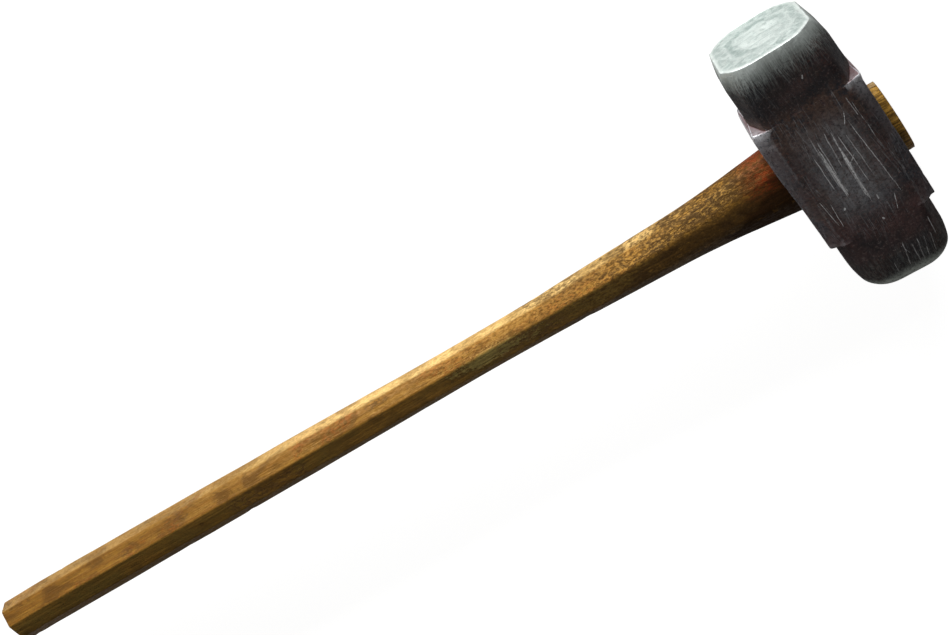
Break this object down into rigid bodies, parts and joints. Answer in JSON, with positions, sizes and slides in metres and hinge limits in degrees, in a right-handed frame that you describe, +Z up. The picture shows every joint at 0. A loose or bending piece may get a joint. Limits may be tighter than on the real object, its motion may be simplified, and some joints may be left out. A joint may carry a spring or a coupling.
{
  "type": "sledgehammer",
  "caption": "Long double-faced sledgehammer with a forged head, chamfered polls and an eight-sided hardwood haft wedged in the eye, for striking anvil tools, stakes and wedges",
  "frame": {"origin": "On the flat of the lower cheek, straight under the centre of the eye, with the hammer lying on that cheek", "axes": "+X along the haft from the butt to the head, +Y along the head towards the struck face, +Z up, square to the cheeks"},
  "size_m": [0.914, 0.218, 0.0686],
  "materials": {
    "forged_steel": "dark forge scale with rust-brown patches, worn bright on the struck face and along the cheek's long edges",
    "oiled_hickory": "oiled, golden brown, glossy from handling, with dark stains and open grain",
    "wedge_wood": "raw end grain, darkened with oil",
    "wedge_steel": "plain mild steel, hammered flush and lightly rusted"
  },
  "bodies": {
    "root": {"head": "forged_steel", "haft": "oiled_hickory", "wooden_wedge": "wedge_wood", "steel_wedge_near_struck_poll": "wedge_steel", "steel_wedge_near_plain_poll": "wedge_steel"}
  },
  "joints": []
}
